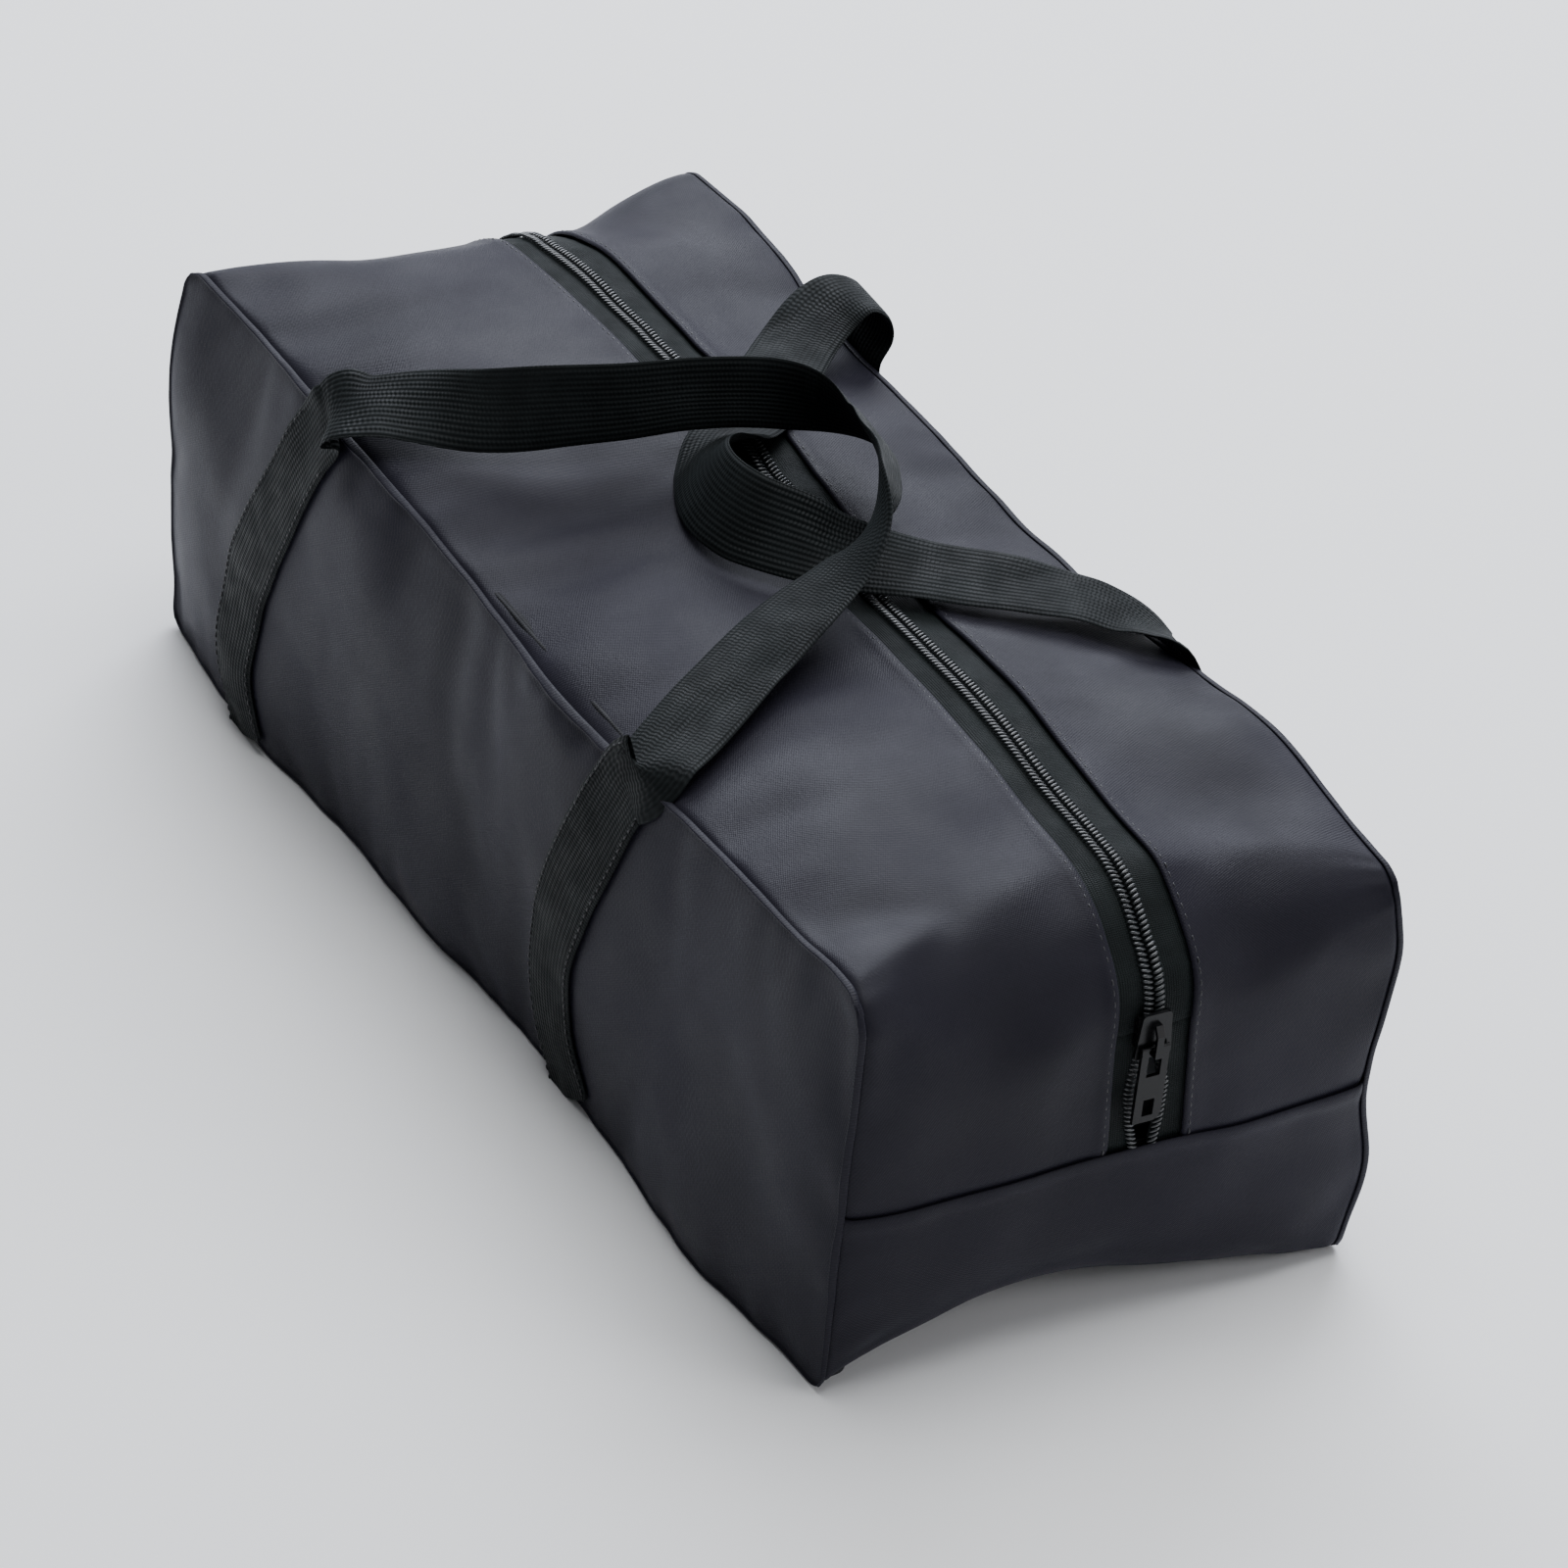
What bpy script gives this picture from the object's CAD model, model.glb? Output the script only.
"""Looks of the filled sandbag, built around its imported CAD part. Metres; the bag runs along Y, up is Z."""
import math

import bpy
import numpy as np
from mathutils import Matrix, Vector
from mathutils.bvhtree import BVHTree
from mathutils.kdtree import KDTree


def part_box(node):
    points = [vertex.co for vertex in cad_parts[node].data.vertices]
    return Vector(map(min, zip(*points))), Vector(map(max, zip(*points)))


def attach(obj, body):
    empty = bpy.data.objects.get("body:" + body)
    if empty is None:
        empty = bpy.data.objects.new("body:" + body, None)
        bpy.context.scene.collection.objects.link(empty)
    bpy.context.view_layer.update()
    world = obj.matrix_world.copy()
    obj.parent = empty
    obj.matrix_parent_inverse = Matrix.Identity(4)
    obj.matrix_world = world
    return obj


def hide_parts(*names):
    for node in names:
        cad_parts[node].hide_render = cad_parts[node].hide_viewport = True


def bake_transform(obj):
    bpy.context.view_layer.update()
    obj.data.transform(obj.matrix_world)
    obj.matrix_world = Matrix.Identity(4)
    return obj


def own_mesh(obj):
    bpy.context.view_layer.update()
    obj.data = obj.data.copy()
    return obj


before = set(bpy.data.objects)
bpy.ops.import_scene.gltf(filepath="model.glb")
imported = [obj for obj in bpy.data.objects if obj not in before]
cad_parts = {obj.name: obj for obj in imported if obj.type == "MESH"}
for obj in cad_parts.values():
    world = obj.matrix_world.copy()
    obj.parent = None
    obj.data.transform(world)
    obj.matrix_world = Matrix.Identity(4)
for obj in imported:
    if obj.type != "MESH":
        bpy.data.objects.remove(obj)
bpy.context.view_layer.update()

MM = 0.001
RNG = np.random.default_rng(11)


# ---------------------------------------------------------------- sizes, in millimetres, from the frame
def box_mm(node):
    lo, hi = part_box(node)
    return np.array(lo) / MM, np.array(hi) / MM


CLOTH = 1.2
HALF = -box_mm("left_side_panel")[1][0] + CLOTH      # half width at the side seams
END = box_mm("left_side_panel")[1][1]                # half length
EDGE = box_mm("left_side_panel")[1][2]               # height of the top seams
PEAK = box_mm("top_panel_left")[1][2]                # height along the middle of the top
SEAM = box_mm("base_panel")[1][2]                    # height of the cross seams on both ends
SLIDER_LO, SLIDER_HI = box_mm("zip_slider_body")
SLIDER_X = (SLIDER_LO[0] + SLIDER_HI[0]) / 2
SLIDER_Z = (SLIDER_LO[2] + SLIDER_HI[2]) / 2
WEB_WIDTH = 30.0
WEB_THICK = 1.6
PANEL_THICK = 0.8        # thickness given to each shell panel
SETTLE_FRAMES = 20       # frames of cloth simulation
SETTLE_MOST = 3.5        # the furthest that the simulation may move the cloth
LEG_STITCH_TOP = 149     # where the stitching of a strap's leg stops
STRAP_STEP = 3.0         # distance from one section of a strap to the next

# cells along each part of the loop that runs up one end, over the top, down the other and underneath
FACE, TURN, RUN, SKIRT, TOE = 13, 8, 84, 10, 6
TOP_CELLS = 2 * FACE + 2 * TURN + RUN
FLOOR_RUN = RUN + TURN - TOE
LOOP = TOP_CELLS + 2 * SKIRT + 2 * TOE + FLOOR_RUN


def rise(v, a, b):
    t = np.clip((np.asarray(v, float) - a) / (b - a), 0, 1)
    return t * t * (3 - 2 * t)


def bump(v, mid, half):
    return np.exp(-(((np.asarray(v, float) - mid) / half) ** 2))


def outline(end, top, turn, toe):
    """Closed loop of (y, z) round the bag's length, starting at the front cross seam and going up."""
    pts = []

    def line(a, b, n):
        for k in range(n):
            pts.append((a[0] + (b[0] - a[0]) * k / n, a[1] + (b[1] - a[1]) * k / n))

    def arc(cy, cz, r, a0, a1, n):
        for k in range(n):
            a = math.radians(a0 + (a1 - a0) * k / n)
            pts.append((cy + r * math.cos(a), cz + r * math.sin(a)))

    line((-end, SEAM), (-end, top - turn), FACE)
    arc(-end + turn, top - turn, turn, 180, 90, TURN)
    line((-end + turn, top), (end - turn, top), RUN)
    arc(end - turn, top - turn, turn, 90, 0, TURN)
    line((end, top - turn), (end, SEAM), FACE)
    line((end, SEAM), (end, toe), SKIRT)
    arc(end - toe, toe, toe, 0, -90, TOE)
    line((end - toe, 0), (-end + toe, 0), FLOOR_RUN)
    arc(-end + toe, toe, toe, -90, -180, TOE)
    line((-end, toe), (-end, SEAM), SKIRT)
    return np.array(pts)


SEAM_LOOP = outline(END - 1.0, EDGE, 13.0, 9.0)
MID_LOOP = outline(END, PEAK, 40.0, 20.0)


def at(loop, t):
    """Smooth point of a closed loop at the fractional index t."""
    t = np.asarray(t, float)
    k = np.floor(t).astype(int)
    f = (t - k)[..., None]
    a, b, c, d = (loop[(k + s) % len(loop)] for s in (-1, 0, 1, 2))
    return 0.5 * (2 * b + (c - a) * f + (2 * a - 5 * b + 4 * c - d) * f ** 2
                  + (3 * b - a - 3 * c + d) * f ** 3)


def band(t, x, lift=0.0):
    """Point of the top, end or base cloth at loop index t and width x, lifted along its normal."""
    t, x = np.broadcast_arrays(np.asarray(t, float), np.asarray(x, float))

    def flat(t, x):
        share = (1 - np.abs(np.clip(x / HALF, -1, 1)) ** 2.4)[..., None]
        yz = at(SEAM_LOOP, t) * (1 - share) + at(MID_LOOP, t) * share
        return np.concatenate([x[..., None], yz], -1)

    p = flat(t, x)
    if np.any(lift):
        along = flat(t + 0.3, x) - flat(t - 0.3, x)
        across = flat(t, x + 0.5) - flat(t, x - 0.5)
        n = np.cross(across, along)
        n /= np.linalg.norm(n, axis=-1, keepdims=True)
        p = p + n * np.asarray(-lift if n.reshape(-1, 3)[0] @ outward(p.reshape(-1, 3)[0]) < 0
                               else lift)[..., None]
    return p


def outward(p):
    return np.array([0.0, p[1] / END, (p[2] - EDGE / 2) / EDGE * 2])


def side_swell(y, z):
    """How far a filled side panel stands out from its seams."""
    up = 1 - np.clip(np.abs(z - EDGE / 2) / (EDGE / 2), 0, 1) ** 2
    along = 1 - np.clip(np.abs(y) / END, 0, 1) ** 8
    return 4.0 * up * along


def coons(us, vs):
    """Side panel's (y, z) grid: u runs from the front to the rear, v from the base to the top."""
    front0, front1 = LOOP - SKIRT - TOE / 2, LOOP + FACE + TURN / 2
    rear1 = FACE + 1.5 * TURN + RUN
    rear0 = TOP_CELLS + SKIRT + TOE / 2

    def edge(a, b, s):
        return at(SEAM_LOOP, a + (b - a) * s)

    us, vs = np.asarray(us, float), np.asarray(vs, float)
    f, r = edge(front0, front1, vs)[None], edge(rear0, rear1, vs)[None]
    lo = edge(front0, rear0, us)[:, None]
    hi = edge(front1 - LOOP, rear1, us)[:, None]
    u, v = us[:, None, None], vs[None, :, None]
    c00, c01 = edge(front0, front1, np.array(0.0)), edge(front0, front1, np.array(1.0))
    c10, c11 = edge(rear0, rear1, np.array(0.0)), edge(rear0, rear1, np.array(1.0))
    return ((1 - u) * f + u * r + (1 - v) * lo + v * hi
            - (1 - u) * (1 - v) * c00 - (1 - u) * v * c01 - u * (1 - v) * c10 - u * v * c11)


# ---------------------------------------------------------------- how the filled bag sags
WAVES = [(RNG.normal(size=3) * s, RNG.uniform(0, 6.28), a)
         for s, a, n in ((0.022, 1.0, 7), (0.048, 0.42, 9), (0.1, 0.14, 10)) for _ in range(n)]


def ripple(p):
    """Smooth random undulation, about -1 to 1."""
    return sum(a * np.sin(p @ k + f) for k, f, a in WAVES) / 2.4


def sag(p):
    """Moves points of the plain filled shape to where loose sand has let the cloth go."""
    x, y, z = p.T
    q = p.copy()
    left, right = rise(-x, 25, 98), rise(x, 25, 98)
    high, low = rise(z, 70, 146), rise(-z, -85, -15)
    front, rear = rise(-y, 170, 246), rise(y, 190, 248)
    q[:, 2] += left * high * (-8.0 * bump(y, -45, 85) + 3.0 * bump(y, -236, 26) + 1.5 * bump(y, 240, 30))
    over = right * high * (bump(y, -172, 52) + 0.75 * bump(y, 196, 58))
    q[:, 0] += 6.0 * over
    q[:, 2] += 6.5 * over
    q[:, 2] -= 2.5 * bump(y, -10, 60) * high * (1 - left)
    q[:, 0] -= left * low * (5.5 * bump(y, 180, 68) - 2.5 * bump(y, -38, 55) + 4.0 * bump(y, -170, 36))
    q[:, 0] += right * low * (4.0 * bump(y, 150, 60) + 5.0 * bump(y, -160, 60))
    q[:, 0] += right * front * (5.5 * bump(z, 116, 26) + 6.5 * bump(z, 38, 20) + 1.0)
    q[:, 0] -= left * rear * 6.5 * bump(z, 100, 48)
    q[:, 2] += front * rise(-z, -40, -1) * (9.0 * bump(x, 2, 42) + 2.0 * bump(x, 60, 20))
    q[:, 1] += front * rise(-z, -40, -1) * 5.0 * bump(x, 2, 42)
    q[:, 2] += rear * high * (-6.0 * bump(x, 46, 17) + 4.0 * bump(x, 92, 22) - 2.0 * bump(x, -10, 40))
    # soft hollows in the cloth
    for cx, cy, cz, r, d in HOLLOWS:
        s = np.exp(-(((x - cx) ** 2 + (y - cy) ** 2 + (z - cz) ** 2) / r ** 2))
        q -= s[:, None] * d * np.stack([x / HALF * 0.5, y / END * 0.5, (z - 60) / 100], -1)
    return q


HOLLOWS = [(-22, -196, 158, 26, 3.0), (62, -196, 160, 24, 3.5), (-60, -70, 158, 34, 2.5),
           (-48, 60, 160, 38, 2.0), (66, 120, 160, 34, 2.5), (-100, -10, 80, 46, 3.0),
           (-104, -190, 60, 30, 2.5), (60, 20, 160, 30, 2.0)]


def quads(nu, nv, base=0):
    return [(base + i * nv + j, base + (i + 1) * nv + j, base + (i + 1) * nv + j + 1, base + i * nv + j + 1)
            for i in range(nu - 1) for j in range(nv - 1)]


def closed_shell():
    """The whole filled shape as one closed mesh: points, faces, and how firmly each point is held."""
    xs = np.linspace(-HALF, HALF, 41)
    pts = band(np.arange(LOOP)[:, None], xs[None]).reshape(-1, 3)
    n = len(xs)
    faces = [(i * n + j, i * n + j + 1, (i + 1) % LOOP * n + j + 1, (i + 1) % LOOP * n + j)
             for i in range(LOOP) for j in range(n - 1)]
    hold = (np.abs(pts[:, 0]) > HALF - 0.1) * 1.0
    nu, nv = RUN + TURN, TOE + SKIRT + FACE + TURN // 2 - TOE // 2
    grid = coons(np.arange(nu + 1) / nu, np.arange(nv + 1) / nv)
    first = LOOP - SKIRT - TOE // 2
    parts, base = [pts], len(pts)
    for side, col in ((-1, 0), (1, n - 1)):
        ids = np.zeros((nu + 1, nv + 1), int)
        inner = []
        for u in range(nu + 1):
            for v in range(nv + 1):
                if u == 0:
                    k = first + v
                elif u == nu:
                    k = FACE + 3 * TURN // 2 + RUN + nv - v
                elif v == 0:
                    k = first - u
                elif v == nv:
                    k = FACE + TURN // 2 + u
                else:
                    y, z = grid[u, v]
                    ids[u, v] = base + len(inner)
                    inner.append((side * (HALF + side_swell(y, z)), y, z))
                    continue
                ids[u, v] = (k % LOOP) * n + col
        parts.append(np.array(inner))
        base += len(inner)
        for u in range(nu):
            for v in range(nv):
                f = (ids[u, v], ids[u, v + 1], ids[u + 1, v + 1], ids[u + 1, v])
                faces.append(f if side < 0 else f[::-1])
    pts = np.concatenate(parts)
    hold = np.concatenate([hold, np.zeros(len(pts) - len(hold))])
    hold = np.maximum(hold, (pts[:, 2] < 0.5) * 1.0)
    return pts, faces, hold


def new_mesh(name, pts, faces):
    mesh = bpy.data.meshes.new(name)
    mesh.from_pydata((np.asarray(pts) * MM).tolist(), [], [tuple(int(k) for k in f) for f in faces])
    mesh.update()
    return mesh


def normals_of(pts, faces):
    mesh = new_mesh("probe", pts, faces)
    n = np.zeros(len(pts) * 3, np.float32)
    mesh.vertex_normals.foreach_get("vector", n)
    bpy.data.meshes.remove(mesh)
    return n.reshape(-1, 3).astype(float)


def settle(pts, faces, hold):
    """Lets the cloth give under the pressure of the fill, held at its seams and on the floor."""
    ob = bpy.data.objects.new("settle", new_mesh("settle", pts, faces))
    bpy.context.scene.collection.objects.link(ob)
    group = ob.vertex_groups.new(name="hold")
    for k, w in enumerate(hold):
        if w > 0:
            group.add([k], float(w), "REPLACE")
    mod = ob.modifiers.new("cloth", "CLOTH")
    s = mod.settings
    s.quality = 5
    s.mass = 0.35
    s.tension_stiffness = s.compression_stiffness = 25
    s.shear_stiffness = 12
    s.bending_stiffness = 1.5
    s.use_pressure = True
    s.uniform_pressure_force = 4.0
    s.shrink_min = -0.006
    s.effector_weights.gravity = 0
    s.vertex_group_mass = "hold"
    mod.point_cache.frame_start, mod.point_cache.frame_end = 1, SETTLE_FRAMES
    scene = bpy.context.scene
    for f in range(1, SETTLE_FRAMES + 1):
        scene.frame_set(f)
    got = ob.evaluated_get(bpy.context.evaluated_depsgraph_get()).to_mesh()
    co = np.zeros(len(pts) * 3, np.float32)
    got.vertices.foreach_get("co", co)
    mesh = ob.data
    bpy.data.objects.remove(ob)
    bpy.data.meshes.remove(mesh)
    scene.frame_set(1)
    return co.reshape(-1, 3).astype(float) / MM


PLAIN, SHELL_FACES, HOLD = closed_shell()
soft = sag(PLAIN)
calm = 1 - HOLD * 0.55
soft += normals_of(soft, SHELL_FACES) * (ripple(soft) * 2.0 * calm)[:, None]
soft[:, 2] = np.where(PLAIN[:, 2] < 0.5, np.maximum(soft[:, 2], 0.4), soft[:, 2])
moved = settle(soft, SHELL_FACES, HOLD) - soft
size = np.linalg.norm(moved, axis=1, keepdims=True)
soft = soft + moved * (SETTLE_MOST * np.tanh(size / SETTLE_MOST) / np.maximum(size, 1e-9))
SHIFT = soft - PLAIN
# the straight run that the slider travels stays where the frame has it
reach = np.sqrt(np.clip(np.abs(PLAIN[:, 0] - SLIDER_X) - 8, 0, None) ** 2
                + (PLAIN[:, 1] - SLIDER_LO[1]) ** 2
                + np.clip(np.abs(PLAIN[:, 2] - 98) - 30, 0, None) ** 2)
SHIFT *= rise(reach, 4, 34)[:, None]
SHIFT[:, 2] = np.where(PLAIN[:, 2] + SHIFT[:, 2] < 0.3, 0.3 - PLAIN[:, 2], SHIFT[:, 2])
TREE = KDTree(len(PLAIN))
for k, p in enumerate(PLAIN):
    TREE.insert(p, k)
TREE.balance()
FINAL = BVHTree.FromPolygons([tuple(p) for p in PLAIN + SHIFT],
                             [tuple(int(k) for k in f) for f in SHELL_FACES])


def outside(p):
    """Nearest point of the sagged cloth to p, its outward direction there, and the signed distance."""
    hit, normal, _, dist = FINAL.find_nearest(Vector(p))
    inner = Vector((max(-HALF + 30, min(HALF - 30, hit.x)), max(-END + 30, min(END - 30, hit.y)), EDGE / 2))
    if normal.dot(hit - inner) < 0:
        normal = -normal
    return hit, normal, (Vector(p) - hit).dot(normal)


def follow(p, reach=None):
    """Carries points from the plain shape to the sagged one; reach fades it out away from the cloth."""
    p = np.asarray(p, float)
    flat = p.reshape(-1, 3)
    out = flat.copy()
    for k, point in enumerate(flat):
        near = TREE.find_n(point, 9)
        d = np.array([n[2] for n in near])
        w = np.exp(-((d / 4.2) ** 2) + (d[0] / 4.2) ** 2)
        move = (SHIFT[[n[1] for n in near]] * w[:, None]).sum(0) / w.sum()
        out[k] += move * (1.0 if reach is None else 1 - float(rise(d[0], reach[0], reach[1])))
    return out.reshape(p.shape)


# ---------------------------------------------------------------- materials
class Nodes:
    """Short calls for building one material."""

    def __init__(self, name, color, rough, sheen=0.0, tint=(1, 1, 1), metallic=0.0, spec=0.5, coat=0.0):
        self.mat = bpy.data.materials.new(name)
        self.mat.use_nodes = True
        self.tree = self.mat.node_tree
        self.bsdf = self.tree.nodes["Principled BSDF"]
        self.color = color
        s = self.bsdf.inputs
        s["Base Color"].default_value = (*color, 1)
        s["Roughness"].default_value = rough
        s["Metallic"].default_value = metallic
        s["Specular IOR Level"].default_value = spec
        s["Sheen Weight"].default_value = sheen
        s["Sheen Roughness"].default_value = 0.45
        s["Sheen Tint"].default_value = (*tint, 1)
        s["Coat Weight"].default_value = coat
        s["Coat Roughness"].default_value = 0.12

    def node(self, kind, **values):
        n = self.tree.nodes.new(kind)
        for k, v in values.items():
            setattr(n, k, v)
        return n

    def link(self, a, b):
        self.tree.links.new(a, b)

    def math(self, op, a, b=None):
        n = self.node("ShaderNodeMath", operation=op)
        for k, v in enumerate((a, b)):
            if v is None:
                continue
            if isinstance(v, (int, float)):
                n.inputs[k].default_value = v
            else:
                self.link(v, n.inputs[k])
        return n.outputs[0]

    def lay(self):
        """The cloth's own flat coordinates in millimetres: across, along."""
        a = self.node("ShaderNodeAttribute", attribute_name="lay")
        s = self.node("ShaderNodeSeparateXYZ")
        self.link(a.outputs["Vector"], s.inputs[0])
        return s.outputs[0], s.outputs[1]

    def noise(self, scale, detail=3.0, rough=0.55):
        c = self.node("ShaderNodeTexCoord")
        n = self.node("ShaderNodeTexNoise")
        n.inputs["Scale"].default_value = scale
        n.inputs["Detail"].default_value = detail
        n.inputs["Roughness"].default_value = rough
        self.link(c.outputs["Object"], n.inputs["Vector"])
        return n.outputs["Fac"]

    def spread(self, value, lo, hi, to_lo, to_hi):
        n = self.node("ShaderNodeMapRange")
        for k, v in zip(("From Min", "From Max", "To Min", "To Max"), (lo, hi, to_lo, to_hi)):
            n.inputs[k].default_value = v
        self.link(value, n.inputs["Value"])
        return n.outputs["Result"]

    def tone(self, value, dark, light):
        r = self.node("ShaderNodeValToRGB")
        r.color_ramp.elements[0].color = (*[c * dark for c in self.color], 1)
        r.color_ramp.elements[1].color = (*[min(1, c * light) for c in self.color], 1)
        r.color_ramp.elements[0].position, r.color_ramp.elements[1].position = 0.3, 0.72
        self.link(value, r.inputs[0])
        self.link(r.outputs[0], self.bsdf.inputs["Base Color"])

    def bump(self, height, strength, distance):
        b = self.node("ShaderNodeBump")
        b.inputs["Strength"].default_value = strength
        b.inputs["Distance"].default_value = distance
        self.link(height, b.inputs["Height"])
        self.link(b.outputs["Normal"], self.bsdf.inputs["Normal"])


def cloth_material():
    m = Nodes("coated_cloth", (0.0103, 0.0096, 0.0150), 0.55, sheen=0.05, tint=(0.7, 0.72, 1.0), spec=0.12)
    u, v = m.lay()
    k = 2 * math.pi / 1.15
    warp = m.math("SINE", m.math("MULTIPLY", m.math("ADD", u, m.math("MULTIPLY", v, 0.18)), k))
    weft = m.math("SINE", m.math("MULTIPLY", m.math("SUBTRACT", v, m.math("MULTIPLY", u, 0.18)), k))
    weave = m.math("MULTIPLY", warp, weft)
    fine = m.noise(900.0, 2.0)
    height = m.math("ADD", m.math("MULTIPLY", weave, 0.3), m.math("MULTIPLY", fine, 1.0))
    m.bump(height, 0.6, 0.0002)
    patch = m.noise(11.0, 4.0)
    m.tone(m.math("ADD", patch, m.math("MULTIPLY", weave, 0.06)), 0.72, 1.3)
    rough = m.math("ADD", m.spread(m.noise(24.0, 5.0), 0.3, 0.7, 0.44, 0.58), m.math("MULTIPLY", weave, 0.05))
    m.link(rough, m.bsdf.inputs["Roughness"])
    return m.mat


def webbing_material(name, color, rib, cross, strength):
    m = Nodes(name, color, 0.65, sheen=0.02, tint=(0.75, 0.9, 0.95), spec=0.09)
    u, v = m.lay()
    ribs = m.math("SINE", m.math("MULTIPLY", u, 2 * math.pi / rib))
    # each cross thread steps half a pitch from one rib to the next
    step = m.math("MULTIPLY", m.math("SINE", m.math("MULTIPLY", u, math.pi / rib)), 0.9)
    picks = m.math("SINE", m.math("ADD", m.math("MULTIPLY", v, 2 * math.pi / cross), step))
    height = m.math("ADD", m.math("MULTIPLY", ribs, 0.7), m.math("MULTIPLY", picks, 0.45))
    m.bump(height, strength, 0.00022)
    m.tone(m.math("ADD", m.noise(60.0, 4.0), m.math("MULTIPLY", ribs, 0.14)), 0.65, 1.5)
    m.link(m.spread(m.noise(90.0, 3.0), 0.3, 0.7, 0.5, 0.7), m.bsdf.inputs["Roughness"])
    return m.mat


def plain_material(name, color, rough, scale, strength, distance, dark=0.8, light=1.25, **more):
    m = Nodes(name, color, rough, **more)
    n = m.noise(scale, 4.0)
    m.tone(n, dark, light)
    m.bump(n, strength, distance)
    m.link(m.spread(m.noise(scale * 0.4, 3.0), 0.3, 0.7, rough * 0.85, min(1.0, rough * 1.2)),
           m.bsdf.inputs["Roughness"])
    return m.mat


CLOTH_MAT = cloth_material()
WEB_MAT = webbing_material("polypropylene_webbing", (0.0058, 0.0073, 0.0076), 2.0, 1.5, 0.7)
TAPE_MAT = webbing_material("zip_tape_weave", (0.0058, 0.0078, 0.0078), 0.9, 0.8, 0.5)
BINDING_MAT = webbing_material("seam_binding_weave", (0.016, 0.016, 0.018), 1.3, 1.1, 0.5)
THREAD_MAT = plain_material("bonded_thread", (0.016, 0.016, 0.019), 0.42, 700, 0.3, 0.0001, sheen=0.1)
COIL_MAT = plain_material("nylon_coil", (0.013, 0.0155, 0.0175), 0.3, 300, 0.15, 0.0001, spec=0.6, coat=0.25)
METAL_MAT = plain_material("black_slider_paint", (0.003, 0.003, 0.0034), 0.25, 120, 0.1, 0.0002, spec=0.2)
FILM_MAT = plain_material("pouch_film", (0.21, 0.23, 0.24), 0.34, 60, 0.5, 0.0012, dark=0.85, light=1.1,
                          spec=0.55)
SAND_MAT = plain_material("dry_sand", (0.5, 0.39, 0.25), 0.9, 1400, 0.9, 0.0006, dark=0.6, light=1.35)
HOOK_MAT = plain_material("hook_and_loop", (0.02, 0.02, 0.021), 0.85, 1600, 1.0, 0.0006, sheen=0.4)


# ---------------------------------------------------------------- mesh helpers
def piece(name, pts, faces, material, lay=None, thick=0.0, level=0, body="bag"):
    """A named mesh object from points in millimetres, thickened inwards and smoothed when asked."""
    mesh = new_mesh(name, pts, faces)
    if lay is not None:
        a = mesh.attributes.new("lay", "FLOAT_VECTOR", "POINT")
        lay = np.asarray(lay, float).reshape(-1, 2)
        a.data.foreach_set("vector", np.c_[lay, np.zeros(len(lay))].astype(np.float32).ravel())
    mesh.materials.append(material)
    mesh.polygons.foreach_set("use_smooth", [True] * len(mesh.polygons))
    ob = bpy.data.objects.new(name, mesh)
    bpy.context.scene.collection.objects.link(ob)
    if thick:
        m = ob.modifiers.new("thick", "SOLIDIFY")
        m.thickness, m.offset = thick * MM, -1
    if level:
        m = ob.modifiers.new("smooth", "SUBSURF")
        m.levels = m.render_levels = level
    if thick or level:
        done = bpy.data.meshes.new_from_object(ob.evaluated_get(bpy.context.evaluated_depsgraph_get()))
        ob.modifiers.clear()
        ob.data = done
        done.name = name
        bpy.data.meshes.remove(mesh)
    if body:
        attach(ob, body)
    return ob


def face_out(pts, faces, probe=0):
    """Turns all faces over if the probe face looks into the bag."""
    a, b, c = (pts[k] for k in faces[probe][:3])
    n = np.cross(b - a, c - a)
    mid = (a + c) / 2
    out = mid - np.array([0, np.clip(mid[1], -180, 180), 70.0])
    return faces if n @ out > 0 else [f[::-1] for f in faces]


def spaced(length, fine, coarse=5.0):
    """Distances from 0 to length: the given fine ones from each end, then even coarse ones."""
    start = list(fine)
    end = [length - d for d in reversed(fine)]
    n = max(2, int(round((end[0] - start[-1]) / coarse)))
    return np.array(start + [start[-1] + (end[0] - start[-1]) * k / n for k in range(1, n)] + end)


# ---------------------------------------------------------------- shell panels
ZIP_T = np.array([0.0, FACE * 0.87, FACE, FACE + TURN, FACE + TURN + 12, FACE + TURN + 36, FACE + TURN + 66,
                  FACE + TURN + RUN, TOP_CELLS])
ZIP_X = np.array([12.5, SLIDER_X, 9.2, 11.0, 13.5, 19.0, 22.5, 21.5, 19.5])


def zip_x(t):
    """Middle of the zip across the bag, at loop index t."""
    t = np.asarray(t, float)
    k = np.linspace(-1.6, 1.6, 9)
    return sum(np.interp(np.clip(t + d, 0, TOP_CELLS), ZIP_T, ZIP_X) * math.exp(-d * d) for d in k) / sum(
        math.exp(-d * d) for d in k)


def loop_length(t):
    pts = at(MID_LOOP, np.arange(0, LOOP + 1, 0.25))
    s = np.r_[0, np.cumsum(np.linalg.norm(np.diff(pts, axis=0), axis=1))]
    return np.interp(t, np.arange(len(pts)) * 0.25, s)


def t_of_length(s):
    ts = np.arange(0, LOOP + 1, 0.25)
    return np.interp(s, loop_length(ts), ts)


def pucker(dist, s, seed, size=0.55, reach=13.0):
    """Small gathers that stand square to a seam and fade away from it."""
    wave = np.sin(s / 3.1 + seed + 1.7 * np.sin(s / 23.0 + seed)) + 0.6 * np.sin(s / 5.3 + 2.1 * seed)
    gate = 0.45 + 0.55 * np.sin(s / 41.0 + 1.3 * seed) ** 2
    return size * wave * gate * np.exp(-dist / reach) * rise(dist, 0.5, 5.0)


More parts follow.
